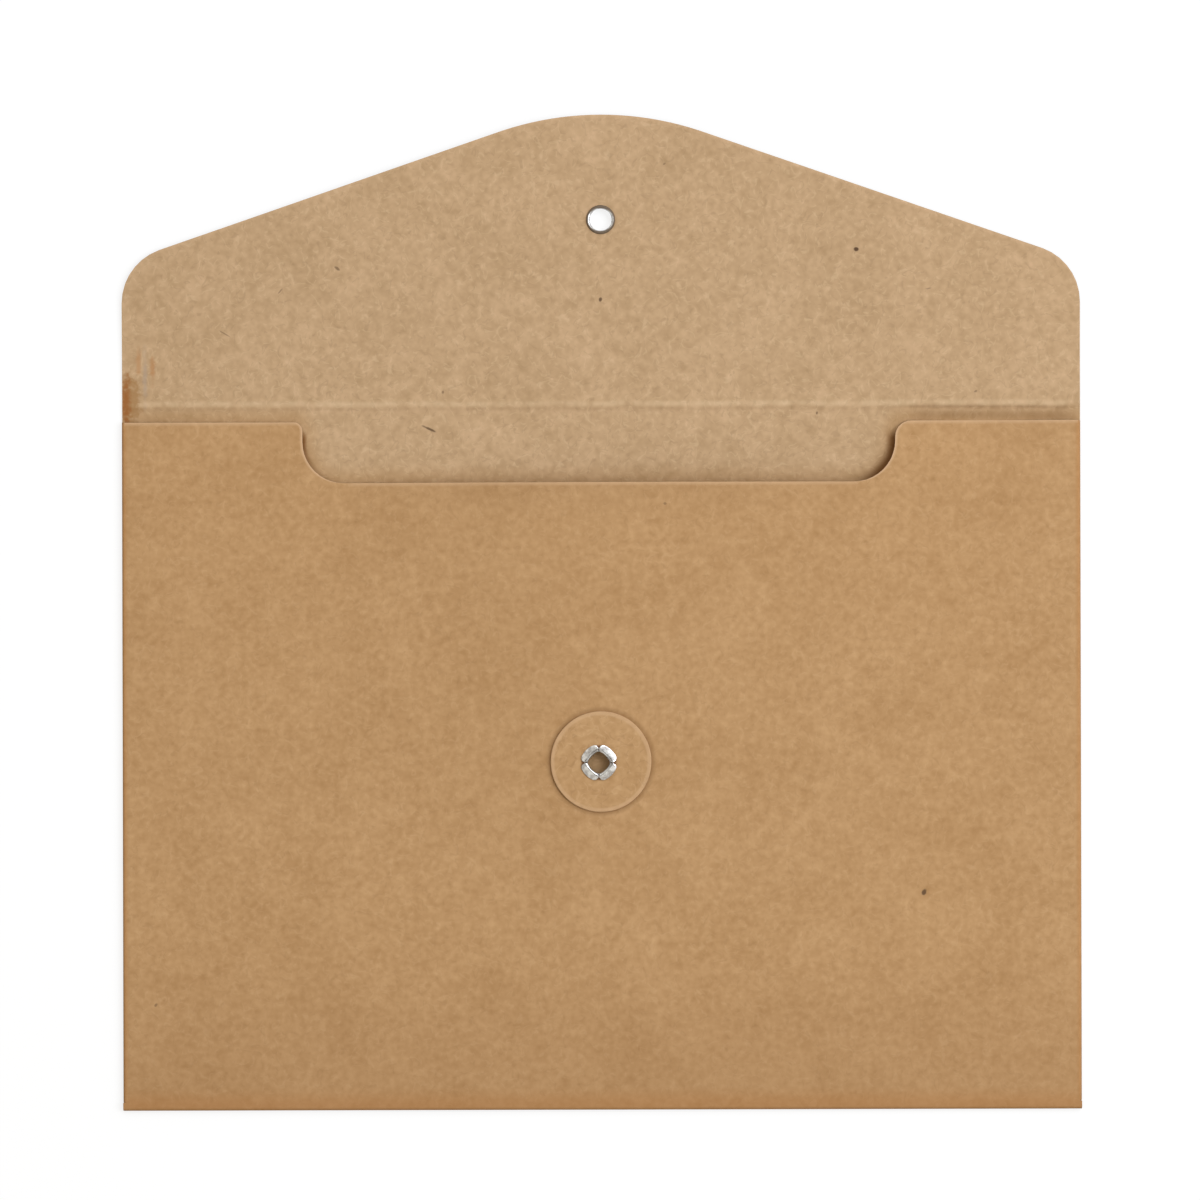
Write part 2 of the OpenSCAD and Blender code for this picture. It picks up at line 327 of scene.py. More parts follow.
def front_corner_row(y):
    """One row of the front below its side folds, where the panel is as wide as the back."""
    return {k: CardPoint(x, y, FRONT_MID_Z) for k, x in enumerate(columns)}


side_fold_start = FRONT_START + CORNER_FLAT + CORNER_SLIT
sheet_rows = [{k: flap_point(x, flap_edge(x), 1.0) for k, x in enumerate(columns)}]
sheet_rows += [flap_row(share) for share in evenly(1, 0, 32)[:-1]]
sheet_rows += [back_row(y) for y in evenly(CREASE_ABOVE, -CREASE_BELOW, 32)]
sheet_rows += [back_row(y) for y in evenly(-CREASE_BELOW, FRONT_START - POCKET_HEIGHT, 42)[1:]]
sheet_rows += [bottom_fold_row(turn) for turn in evenly(0, math.pi, 12)[1:]]
sheet_rows += [front_corner_row(FRONT_START + CORNER_FLAT)]
sheet_rows += [front_row(y) for y in evenly(side_fold_start, NOTCH_FOOT_Y - PALE_RIM, 72)]
sheet_rows += [front_row(NOTCH_FOOT_Y, rim=0.6)]
ear_heights = [NOTCH_FOOT_Y + NOTCH_R * (1 - math.cos(t)) for t in evenly(0, math.pi / 2, 10)[1:]]
lip_steps = (RIGHT_LIP_R, 2.8, LEFT_LIP_R, 1.4, 1.0, PALE_RIM, 0.35, 0.1)
ear_heights += [FRONT_HEIGHT - step for step in lip_steps]
sheet_rows += [front_row(y, notched=True) for y in ear_heights]
sheet_rows += [front_row(FRONT_HEIGHT, notched=True)]

fold_keys = [("fold", k) for k in range(FOLD_STEPS)] + [("tab", k) for k in range(TAB_STEPS)]
row_order = [(kind, -1, k) for kind, k in reversed(fold_keys)]
row_order += list(range(len(columns)))
row_order += [(kind, 1, k) for kind, k in fold_keys]

SHARES = ("sprung", "settled", "tucked", "dipped", "slack", "rim")
blank = bmesh.new()
share_layers = {name: blank.verts.layers.float.new(name) for name in SHARES}
corners = []
for row in sheet_rows:
    corners.append({})
    for key, point in row.items():
        corner = blank.verts.new(point.place)
        for name, share in point.shares.items():
            corner[share_layers[name]] = share
        corners[-1][key] = corner
for upper, lower in zip(corners, corners[1:]):
    for a, b in zip(row_order, row_order[1:]):
        if a in upper and b in upper and a in lower and b in lower:
            blank.faces.new((upper[a], upper[b], lower[b], lower[a]))
bmesh.ops.delete(blank, geom=[v for v in blank.verts if not v.link_faces], context="VERTS")
folded_card = place_object("folded_card", blank)


# Folded sheet: kraft card materials
# Recycled brown card with short light and dark fibres. The outside is a warmer, smoother liner,
# the inside is paler, and the die-cut edges show the pale core.
def shader_group(name, inputs, outputs):
    """An empty shader node group with named sockets. Gives the tree, its inputs and its outputs."""
    tree = bpy.data.node_groups.new(name, "ShaderNodeTree")
    for label, default in inputs.items():
        if isinstance(default, float):
            kind = "NodeSocketFloat"
        elif len(default) == 4:
            kind = "NodeSocketColor"
        else:
            kind = "NodeSocketVector"
        tree.interface.new_socket(name=label, in_out="INPUT", socket_type=kind).default_value = default
    for label, kind in outputs.items():
        tree.interface.new_socket(name=label, in_out="OUTPUT", socket_type="NodeSocket" + kind)
    given = tree.nodes.new("NodeGroupInput").outputs
    result = tree.nodes.new("NodeGroupOutput").inputs
    return tree, given, result


def add_node(tree, kind, inputs=None, **settings):
    """Adds a node, sets its properties, and gives its sockets values or links."""
    made = tree.nodes.new(kind)
    for label, value in settings.items():
        setattr(made, label, value)
    for label, value in (inputs or {}).items():
        if isinstance(value, bpy.types.NodeSocket):
            tree.links.new(value, made.inputs[label])
        else:
            made.inputs[label].default_value = value
    return made


def maths(tree, operation, *values, clamp=False):
    """One Math node. Gives its output."""
    return add_node(
        tree, "ShaderNodeMath", dict(enumerate(values)), operation=operation, use_clamp=clamp
    ).outputs[0]


def vectors(tree, operation, *values):
    """One Vector Math node. Gives its first output."""
    return add_node(
        tree, "ShaderNodeVectorMath", dict(enumerate(values)), operation=operation
    ).outputs[0]


def axes_of(tree, place):
    """The X, Y and Z outputs of a place."""
    return add_node(tree, "ShaderNodeSeparateXYZ", {"Vector": place}).outputs


def fade(tree, value, start, end, from_share=0.0, to_share=1.0):
    """A smooth change of a value's share between two limits."""
    return add_node(
        tree,
        "ShaderNodeMapRange",
        {"Value": value, 1: start, 2: end, 3: from_share, 4: to_share},
        interpolation_type="SMOOTHSTEP",
    ).outputs[0]


def noise_share(tree, place, scale, detail=0.0, offset=(0.0, 0.0, 0.0)):
    """A noise share round 0.5, with its scale in waves per millimetre."""
    moved = vectors(tree, "ADD", place, offset) if any(offset) else place
    return add_node(
        tree, "ShaderNodeTexNoise", {"Vector": moved, "Scale": scale, "Detail": detail}
    ).outputs[0]


def mix_colour(tree, share, below, above):
    """Mixes two colours. Gives the colour."""
    made = add_node(tree, "ShaderNodeMix", {0: share, 6: below, 7: above}, data_type="RGBA")
    return made.outputs[2]


def place_group(tree, group, inputs):
    """Puts a shader group into a material and fills its sockets."""
    return add_node(tree, "ShaderNodeGroup", inputs, node_tree=group)


def place_in_mm(tree):
    """A point's place on the object, in millimetres."""
    here = tree.nodes.new("ShaderNodeTexCoord").outputs["Object"]
    return vectors(tree, "MULTIPLY", here, (1 / MM, 1 / MM, 1 / MM))


def build_fibres():
    """Group of short curled fibres, drawn where a noise field crosses its middle value."""
    tree, given, result = shader_group(
        "card_fibres",
        {"Place": (0.0, 0.0, 0.0), "Turn": 0.0, "Curl": 0.6, "Width": 0.02, "Cover": 0.5},
        {"Mask": "Float"},
    )
    turned = add_node(
        tree,
        "ShaderNodeVectorRotate",
        {"Vector": given["Place"], "Angle": given["Turn"]},
        rotation_type="Z_AXIS",
    ).outputs[0]
    drawn_out = vectors(tree, "MULTIPLY", turned, (0.5, 1.0, 1.0))
    field = noise_share(tree, drawn_out, given["Curl"], 1.0)
    away = maths(tree, "ABSOLUTE", maths(tree, "SUBTRACT", field, 0.5))
    line = fade(tree, away, 0.0, given["Width"], 1.0, 0.0)
    piece = noise_share(tree, turned, 0.75, 0.0, (31.0, 17.0, 5.0))
    shown = fade(tree, piece, given["Cover"], maths(tree, "ADD", given["Cover"], 0.06))
    tree.links.new(maths(tree, "MULTIPLY", line, shown), result["Mask"])
    return tree


def build_kraft(fibres):
    """Group of the card's own colour: slow clouds, fine grain and fibres, and a height for bumps."""
    tree, given, result = shader_group(
        "kraft_card",
        {
            "Place": (0.0, 0.0, 0.0),
            "Deep": (0.4, 0.24, 0.11, 1.0),
            "Pale": (0.56, 0.34, 0.16, 1.0),
            "Light fibre": (0.7, 0.5, 0.3, 1.0),
            "Dark fibre": (0.3, 0.17, 0.08, 1.0),
            "Fibre strength": 0.4,
        },
        {"Color": "Color", "Height": "Float"},
    )
    place = given["Place"]
    warp = add_node(tree, "ShaderNodeTexNoise", {"Vector": place, "Scale": 0.3, "Detail": 1.0})
    bent = vectors(tree, "MULTIPLY_ADD", warp.outputs["Color"], (2.5, 2.5, 0.0), place)
    clouds = maths(tree, "MULTIPLY_ADD", noise_share(tree, place, 0.05, 3.0), 0.7, -0.35)
    clumps = maths(tree, "MULTIPLY_ADD", noise_share(tree, bent, 0.3, 1.0), 0.7, -0.35)
    grain = noise_share(tree, place, 0.65, 1.0)
    tone = maths(tree, "ADD", clouds, clumps)
    tone = maths(tree, "ADD", tone, maths(tree, "MULTIPLY_ADD", grain, 1.1, -0.05), clamp=True)
    colour = mix_colour(tree, tone, given["Deep"], given["Pale"])
    masks = []
    for turn, curl, width, cover, shift in (
        (0.5, 0.4, 0.03, 0.52, 3.0),
        (2.1, 0.5, 0.035, 0.55, 48.0),
        (1.3, 0.42, 0.03, 0.54, 70.0),
        (2.7, 0.34, 0.025, 0.58, 31.0),
    ):
        layer = place_group(
            tree,
            fibres,
            {
                "Place": vectors(tree, "ADD", bent, (shift, 0.0, shift / 5)),
                "Turn": turn,
                "Curl": curl,
                "Width": width,
                "Cover": cover,
            },
        )
        masks.append(layer.outputs["Mask"])
    light = maths(tree, "MAXIMUM", masks[0], masks[1])
    dark = maths(tree, "MAXIMUM", masks[2], masks[3])
    strength = given["Fibre strength"]
    colour = mix_colour(tree, maths(tree, "MULTIPLY", light, strength), colour, given["Light fibre"])
    colour = mix_colour(tree, maths(tree, "MULTIPLY", dark, strength), colour, given["Dark fibre"])
    tree.links.new(colour, result["Color"])
    tree.links.new(grain, result["Height"])
    return tree


def build_rub_and_shade_line():
    """Group of an uneven line along X, for the pale rub along the score and for the painted shade and
    highlight beside it.
    """
    tree, given, result = shader_group(
        "rub_and_shade_line",
        {
            "Place": (0.0, 0.0, 0.0),
            "Height": 0.0,
            "Half width": 0.4,
            "Start": -110.0,
            "End": 110.0,
            "Break": 0.5,
        },
        {"Mask": "Float"},
    )
    axes = axes_of(tree, given["Place"])
    along = add_node(tree, "ShaderNodeCombineXYZ", {"X": axes["X"], "Y": given["Height"]}).outputs[0]
    wander = maths(tree, "MULTIPLY_ADD", noise_share(tree, along, 0.12, 2.0), 0.8, -0.4)
    away = maths(tree, "SUBTRACT", axes["Y"], maths(tree, "ADD", given["Height"], wander))
    share = maths(tree, "DIVIDE", maths(tree, "ABSOLUTE", away), given["Half width"])
    line = fade(tree, share, 0.0, 1.0, 1.0, 0.0)
    whole = fade(tree, noise_share(tree, along, 0.45, 2.0), 0.35, 0.6)
    broken = maths(tree, "MULTIPLY_ADD", maths(tree, "SUBTRACT", whole, 1.0), given["Break"], 1.0)
    begun = fade(tree, axes["X"], given["Start"], maths(tree, "ADD", given["Start"], 8.0))
    ended = fade(tree, axes["X"], maths(tree, "SUBTRACT", given["End"], 4.0), given["End"], 1.0, 0.0)
    mask = maths(tree, "MULTIPLY", maths(tree, "MULTIPLY", line, broken), begun)
    tree.links.new(maths(tree, "MULTIPLY", mask, ended), result["Mask"])
    return tree


def build_patch():
    """Group of one soft-edged spot on a face: an oval whose outline follows a ragged value."""
    tree, given, result = shader_group(
        "frayed_patch",
        {
            "Place": (0.0, 0.0, 0.0),
            "Ragged": 0.0,
            "Centre": (0.0, 0.0, 0.0),
            "Half size": (1.0, 1.0, 1000.0),
            "Turn": 0.0,
            "Fray": 0.5,
            "Softness": 0.5,
        },
        {"Mask": "Float"},
    )
    away = vectors(tree, "SUBTRACT", given["Place"], given["Centre"])
    turned = add_node(
        tree,
        "ShaderNodeVectorRotate",
        {"Vector": away, "Angle": maths(tree, "MULTIPLY", given["Turn"], -1.0)},
        rotation_type="Z_AXIS",
    ).outputs[0]
    scaled = vectors(tree, "DIVIDE", turned, given["Half size"])
    distance = add_node(tree, "ShaderNodeVectorMath", {0: scaled}, operation="LENGTH").outputs["Value"]
    distance = maths(tree, "MULTIPLY_ADD", given["Ragged"], given["Fray"], distance)
    inner = maths(tree, "SUBTRACT", 1.0, given["Softness"])
    tree.links.new(fade(tree, distance, inner, 1.1, 1.0, 0.0), result["Mask"])
    return tree


FIBRES = build_fibres()
KRAFT = build_kraft(FIBRES)
PATCH = build_patch()
RUB_AND_SHADE_LINE = build_rub_and_shade_line()


def card_material(name, turn, deep, pale, light_fibre, dark_fibre, strength, roughness):
    """A material of plain kraft card. Gives it with its tree, its place in mm, its colour and shader."""
    material = bpy.data.materials.new(name)
    material.use_nodes = True
    tree = material.node_tree
    shader = tree.nodes["Principled BSDF"]
    place = place_in_mm(tree)
    turned = add_node(
        tree, "ShaderNodeMapping", {"Vector": place, "Rotation": (0.0, 0.0, turn)}
    ).outputs[0]
    kraft = place_group(
        tree,
        KRAFT,
        {
            "Place": turned,
            "Deep": deep,
            "Pale": pale,
            "Light fibre": light_fibre,
            "Dark fibre": dark_fibre,
            "Fibre strength": strength,
        },
    )
    bump = add_node(
        tree, "ShaderNodeBump", {"Height": kraft.outputs["Height"], "Strength": 0.35, "Distance": 3e-5}
    )
    tree.links.new(bump.outputs[0], shader.inputs["Normal"])
    shader.inputs["Roughness"].default_value = roughness
    shader.inputs["Specular IOR Level"].default_value = 0.15
    return material, tree, place, kraft.outputs["Color"], shader


def painted_share(tree, name):
    """A share that the piece's own mesh carries, such as the rim, which is 1 at a cut edge."""
    return add_node(tree, "ShaderNodeAttribute", attribute_name=name).outputs["Fac"]


ANY_DEPTH = 1000.0
BARK = (0.1, 0.055, 0.03, 1.0)


def add_flecks(tree, place, ragged, colour, flecks):
    """Bark flecks in the pulp: middle, half length, half width, turn and depth of tone of each."""
    for centre, half_length, half_width, turn, strength in flecks:
        fleck = place_group(
            tree,
            PATCH,
            {
                "Place": place,
                "Ragged": ragged,
                "Centre": (*centre, 0.0),
                "Half size": (half_length, half_width, ANY_DEPTH),
                "Turn": turn,
                "Fray": 1.0,
            },
        )
        share = maths(tree, "MULTIPLY", fleck.outputs["Mask"], strength)
        colour = mix_colour(tree, share, colour, BARK)
    return colour


PALE_CORE = (0.69, 0.455, 0.27, 1.0)
FOLD_SHADE = (0.47, 0.215, 0.07, 1.0)
BOTTOM_SHADE = (0.27, 0.13, 0.05, 1.0)
FRONT_SHADE = (0.2, 0.1, 0.035, 1.0)

outside, tree, place, colour, shader = card_material(
    "kraft_outside",
    turn=0.0,
    deep=(0.438, 0.245, 0.103, 1.0),
    pale=(0.58, 0.351, 0.169, 1.0),
    light_fibre=(0.66, 0.43, 0.23, 1.0),
    dark_fibre=(0.33, 0.18, 0.075, 1.0),
    strength=0.2,
    roughness=0.82,
)
axes = axes_of(tree, place)
# Painted shade: a darker orange band along the rounded side folds and the bottom fold
near_side = fade(tree, maths(tree, "ABSOLUTE", axes["X"]), HALF_WIDTH - 1.6, HALF_WIDTH - 0.4)
near_bottom = fade(tree, axes["Y"], BOTTOM_Y + 5.8, BOTTOM_Y + 1.2)
fold_shade = maths(tree, "MULTIPLY", maths(tree, "MAXIMUM", near_side, near_bottom), 0.48)
colour = mix_colour(tree, fold_shade, colour, FOLD_SHADE)
# Painted shade: the outside is darker towards the bottom fold
bottom_shade = fade(tree, axes["Y"], BOTTOM_Y + 45.0, BOTTOM_Y + 2.0, 0.0, 0.18)
colour = mix_colour(tree, bottom_shade, colour, BOTTOM_SHADE)
# On the front, a dark ring round the button and a faint darker band at the mouth are painted shade
in_front = fade(tree, axes["Z"], CARD, 3 * CARD)
for centre, half_size, softness, strength in (
    ((POCKET_BUTTON_SIDE, POCKET_BUTTON_UP), (11.8, 11.8), 0.0, 0.37),
    ((NOTCH_SHIFT, NOTCH_FOOT_Y), (72.0, 9.0), 0.9, 0.08),
):
    shade_patch = place_group(
        tree,
        PATCH,
        {
            "Place": place,
            "Centre": (centre[0], BOTTOM_Y + centre[1], 0.0),
            "Half size": (*half_size, ANY_DEPTH),
            "Softness": softness,
        },
    )
    share = maths(tree, "MULTIPLY", shade_patch.outputs["Mask"], maths(tree, "MULTIPLY", in_front, strength))
    colour = mix_colour(tree, share, colour, FRONT_SHADE)
ragged = maths(tree, "SUBTRACT", noise_share(tree, place, 0.9, 2.0), 0.5)
outside_flecks = (
    ((73.8, -64.3), 0.85, 0.6, 1.1, 0.85),
    ((-102.4, -89.8), 0.5, 0.3, 0.8, 0.5),
    ((14.6, 24.9), 0.45, 0.35, 0.0, 0.45),
)
colour = add_flecks(tree, place, ragged, colour, outside_flecks)
rim = maths(tree, "MULTIPLY", painted_share(tree, "rim"), 0.9)
tree.links.new(mix_colour(tree, rim, colour, PALE_CORE), shader.inputs["Base Color"])

inside, tree, place, colour, shader = card_material(
    "kraft_inside",
    turn=0.9,
    deep=(0.455, 0.295, 0.155, 1.0),
    pale=(0.625, 0.42, 0.245, 1.0),
    light_fibre=(0.72, 0.52, 0.32, 1.0),
    dark_fibre=(0.36, 0.23, 0.12, 1.0),
    strength=0.3,
    roughness=0.88,
)
# The score has rubbed a pale line into the crease, painted a little brighter as a highlight on the bead.
# Under it runs a line of painted shade, doubled at the right, and at the right a wide band of painted
# shade lies between the crease and the front's edge
SCORE_SHADE = (0.2, 0.11, 0.05, 1.0)
SCORE_RUB_AND_HIGHLIGHT = (0.8, 0.6, 0.38, 1.0)
ALL_ACROSS = -112.0
AT_RIGHT = 68.0
crease_y = BOTTOM_Y + POCKET_HEIGHT
for height, half_width, start, gaps, strength, tint in (
    (crease_y - 1.0, 0.8, ALL_ACROSS, 0.7, 0.1, SCORE_SHADE),
    (crease_y - 0.8, 0.9, AT_RIGHT, 0.7, 0.3, SCORE_SHADE),
    (crease_y - 2.7, 2.0, AT_RIGHT, 0.2, 0.5, SCORE_SHADE),
    (crease_y + 0.2, 1.1, ALL_ACROSS, 0.7, 0.28, SCORE_RUB_AND_HIGHLIGHT),
):
    line = place_group(
        tree,
        RUB_AND_SHADE_LINE,
        {"Place": place, "Height": height, "Half width": half_width, "Start": start, "Break": gaps},
    )
    share = maths(tree, "MULTIPLY", line.outputs["Mask"], strength)
    colour = mix_colour(tree, share, colour, tint)
# Painted shade: the card is painted deeper and warmer from the mouth's edge inwards, under the front and
# fading out across the open notch
MOUTH_SHADE_TONE = (0.36, 0.165, 0.028, 1.0)
MOUTH_EDGE_SHADOW = (0.19, 0.066, 0.01, 1.0)
EAR_R = 3.0


def corner_distance(tree, first, second):
    """Distance from a corner, counting only the positive parts of two values."""
    parts = {"X": maths(tree, "MAXIMUM", first, 0.0), "Y": maths(tree, "MAXIMUM", second, 0.0)}
    both = add_node(tree, "ShaderNodeCombineXYZ", parts).outputs[0]
    return add_node(tree, "ShaderNodeVectorMath", {0: both}, operation="LENGTH").outputs["Value"]


from_foot = vectors(tree, "SUBTRACT", place, (NOTCH_SHIFT, BOTTOM_Y + NOTCH_FOOT_Y + NOTCH_R, 0.0))
axes = axes_of(tree, from_foot)
across = maths(tree, "SUBTRACT", maths(tree, "ABSOLUTE", axes["X"]), NOTCH_HALF - NOTCH_R)
below = maths(tree, "MULTIPLY", axes["Y"], -1.0)
nearer = maths(tree, "MINIMUM", maths(tree, "MAXIMUM", across, below), 0.0)
from_corner = maths(tree, "ADD", corner_distance(tree, across, below), nearer)
in_notch = maths(tree, "SUBTRACT", NOTCH_R, from_corner)
above_front = maths(tree, "SUBTRACT", axes["Y"], FRONT_HEIGHT - NOTCH_FOOT_Y - NOTCH_R)
in_corner = maths(tree, "ADD", in_notch, EAR_R)
above_corner = maths(tree, "ADD", above_front, EAR_R)
open_by = maths(tree, "SUBTRACT", corner_distance(tree, in_corner, above_corner), EAR_R)
share = fade(tree, open_by, 0.0, 5.0, 0.28, 0.0)
colour = mix_colour(tree, share, colour, MOUTH_SHADE_TONE)
# Painted shadow of the mouth's raised edge on the back at the two sides of the notch, less at the left
at_side = fade(tree, across, 0.0, 6.5, 0.03, 0.85)
at_left = fade(tree, axes["X"], -50.0, -60.0)
low_left = maths(tree, "MULTIPLY", at_left, fade(tree, axes["Y"], -8.0, 1.0, 0.75, 0.0))
at_side = maths(tree, "MULTIPLY", at_side, maths(tree, "SUBTRACT", 1.0, low_left))
at_side = maths(tree, "MULTIPLY", at_side, fade(tree, above_front, -4.0, -1.5, 1.0, 0.0))
line = fade(tree, open_by, 0.2, maths(tree, "MULTIPLY_ADD", at_left, -1.3, 2.6), 1.0, 0.0)
colour = mix_colour(tree, maths(tree, "MULTIPLY", line, at_side), colour, MOUTH_EDGE_SHADOW)
ragged = maths(tree, "SUBTRACT", noise_share(tree, place, 0.9, 2.0), 0.5)
# A damp mark on the left edge beside the crease, with a fainter ring and streaks round it
for centre, half_size, fray, softness, strength, tint in (
    ((-108.4, 48.8), (3.5, 7.2), 1.6, 0.7, 0.8, (0.37, 0.2, 0.075, 1.0)),
    ((-109.1, 48.4), (1.5, 7.2), 1.4, 0.9, 0.85, (0.34, 0.12, 0.03, 1.0)),
    ((-106.2, 57.5), (0.8, 4.6), 1.2, 0.9, 0.5, (0.5, 0.24, 0.09, 1.0)),
    ((-104.7, 54.0), (0.8, 8.0), 1.2, 0.9, 0.5, (0.42, 0.33, 0.26, 1.0)),
    ((-102.9, 56.0), (0.9, 3.8), 1.4, 0.9, 0.6, (0.47, 0.22, 0.08, 1.0)),
):
    mark = place_group(
        tree,
        PATCH,
        {
            "Place": place,
            "Ragged": ragged,
            "Centre": (*centre, 0.0),
            "Half size": (*half_size, ANY_DEPTH),
            "Fray": fray,
            "Softness": softness,
        },
    )
    share = maths(tree, "MULTIPLY", mark.outputs["Mask"], strength)
    colour = mix_colour(tree, share, colour, tint)
inside_flecks = (
    ((58.7, 83.3), 0.7, 0.55, 0.0, 0.95),
    ((-0.1, 71.8), 0.65, 0.42, 1.4, 0.85),
    ((-39.4, 42.2), 1.9, 0.36, -0.42, 0.8),
    ((-60.5, 79.1), 0.9, 0.36, 2.5, 0.6),
    ((-36.3, 50.7), 0.4, 0.3, 1.6, 0.5),
    ((-86.4, 64.2), 1.5, 0.2, 2.6, 0.45),
    ((-73.6, 73.9), 0.9, 0.2, 0.9, 0.45),
    ((86.0, 50.6), 0.5, 0.3, 0.4, 0.5),
    ((49.6, 45.7), 0.4, 0.3, 1.2, 0.6),
    ((75.2, 74.2), 0.8, 0.18, 0.2, 0.4),
    ((14.7, 102.9), 0.45, 0.25, 0.7, 0.45),
)
colour = add_flecks(tree, place, ragged, colour, inside_flecks)
rim = maths(tree, "MULTIPLY", painted_share(tree, "rim"), 0.35)
tree.links.new(mix_colour(tree, rim, colour, PALE_CORE), shader.inputs["Base Color"])

cut_edge, tree, place, colour, shader = card_material(
    "kraft_cut_edge",
    turn=0.0,
    deep=(0.47, 0.29, 0.15, 1.0),
    pale=(0.66, 0.44, 0.25, 1.0),
    light_fibre=(0.75, 0.55, 0.35, 1.0),
    dark_fibre=(0.36, 0.22, 0.11, 1.0),
    strength=0.5,
    roughness=0.92,
)
tree.links.new(colour, shader.inputs["Base Color"])


# Folded sheet: springing, holes and thickness
# The front panel is held down by its folds and springs up, most above its button, and settles a
# little at its mouth. Left of the notch's middle it lies close to the back, and beside the notch its
# right ear is tucked down. The flap and the front are wavy too.
def geometry_tree(name, inputs):
    """A geometry node tree that takes and gives geometry, with named float inputs."""
    tree = bpy.data.node_groups.new(name, "GeometryNodeTree")
    tree.interface.new_socket(name="Geometry", in_out="INPUT", socket_type="NodeSocketGeometry")
    for label, default in inputs.items():
        kind = "NodeSocketInt" if isinstance(default, int) else "NodeSocketFloat"
        tree.interface.new_socket(name=label, in_out="INPUT", socket_type=kind).default_value = default
    tree.interface.new_socket(name="Geometry", in_out="OUTPUT", socket_type="NodeSocketGeometry")
    given = tree.nodes.new("NodeGroupInput").outputs
    result = tree.nodes.new("NodeGroupOutput").inputs
    return tree, given, result


def finish_tree(tree, geometry, material, result):
    """Ends a geometry tree in plain geometry of one material."""
    plain = add_node(tree, "GeometryNodeRealizeInstances", {"Geometry": geometry}).outputs[0]
    shown = add_node(tree, "GeometryNodeSetMaterial", {"Geometry": plain, "Material": material})
    tree.links.new(shown.outputs[0], result["Geometry"])


def run_tree(piece, tree, values):
    """Runs a geometry tree on an object and keeps the result as the object's plain mesh."""
    modifier = piece.modifiers.new(tree.name, "NODES")
    modifier.node_group = tree
    for item in tree.interface.items_tree:
        if item.in_out == "INPUT" and item.name in values:
            modifier[item.identifier] = values[item.name]
    keep_result(piece)


def keep_result(piece):
    """Turns an object's modifiers into its plain mesh."""
    evaluated = piece.evaluated_get(bpy.context.evaluated_depsgraph_get())
    made = bpy.data.meshes.new_from_object(evaluated)
    piece.modifiers.clear()
    piece.data = made


def shade_rounded(piece):
    """Shades a piece as rounded, apart from the edges that are sharp in the real one."""
    piece.data.shade_smooth()
    piece.data.set_sharp_from_angle(angle=SHARP_ANGLE)


springing, given, result = geometry_tree(
    "springing",
    {
        "Mouth rise": 0.0,
        "Mouth settle": 0.0,
        "Ear tuck": 0.0,
        "Left dip": 0.0,
        "Wave height": 0.0,
        "Wave length": 1.0,
    },
)


def share_of(name):
    """The attribute that a point of the sheet carries."""
    return add_node(springing, "GeometryNodeInputNamedAttribute", {"Name": name}).outputs[0]


rise = maths(springing, "MULTIPLY", share_of("sprung"), given["Mouth rise"])
settle = maths(springing, "MULTIPLY", share_of("settled"), given["Mouth settle"])
settle = maths(springing, "MULTIPLY_ADD", share_of("tucked"), given["Ear tuck"], settle)
settle = maths(springing, "MULTIPLY_ADD", share_of("dipped"), given["Left dip"], settle)
rise = maths(springing, "SUBTRACT", rise, settle)
where = springing.nodes.new("GeometryNodeInputPosition").outputs[0]
waves_per_metre = maths(springing, "DIVIDE", 1.0, given["Wave length"])
wave = add_node(
    springing, "ShaderNodeTexNoise", {"Vector": where, "Scale": waves_per_metre, "Detail": 1.0}
).outputs[0]
wave = maths(springing, "MULTIPLY", maths(springing, "SUBTRACT", wave, 0.5), given["Wave height"])
rise = maths(springing, "MULTIPLY_ADD", share_of("slack"), wave, rise)
move = add_node(springing, "ShaderNodeCombineXYZ", {"Z": rise}).outputs[0]
lifted = add_node(
    springing, "GeometryNodeSetPosition", {"Geometry": given["Geometry"], "Offset": move}
).outputs[0]
finish_tree(springing, lifted, outside, result)
run_tree(
    folded_card,
    springing,
    {
        "Mouth rise": MOUTH_RISE * MM,
        "Mouth settle": MOUTH_SETTLE * MM,
        "Ear tuck": EAR_TUCK * MM,
        "Left dip": LEFT_DIP * MM,
        "Wave height": WAVE_HEIGHT * MM,
        "Wave length": WAVE_LENGTH * MM,
    },
)

# Frames of the two buttons: the origin is on the card's inside face, and Z points out of the card
front_share = (POCKET_BUTTON_UP - FRONT_START) / (FRONT_HEIGHT - FRONT_START)
front_steepness = MOUTH_RISE * 20 * front_share**3 * (1 - front_share)
front_pitch = math.atan(front_steepness / (FRONT_HEIGHT - FRONT_START))
pocket_card_z = FRONT_MID_Z - CARD / 2 + MOUTH_RISE * sprung_share(front_share)
pocket_frame = (
    Matrix.Scale(MM, 4)
    @ Matrix.Translation((POCKET_BUTTON_SIDE, BOTTOM_Y + POCKET_BUTTON_UP, pocket_card_z))
    @ Matrix.Rotation(front_pitch, 4, "X")
    @ Matrix.Translation((*POCKET_EYELET_SHIFT, 0))
)
flap_frame = (
    Matrix.Scale(MM, 4)
    @ Matrix.Translation((0, BOTTOM_Y + POCKET_HEIGHT, 0))
    @ Matrix.Rotation(FLAP_LEAN, 4, "X")
    @ Matrix.Translation((0, FLAP_BUTTON_UP, CARD))
    @ Matrix.Rotation(math.pi, 4, "X")
)

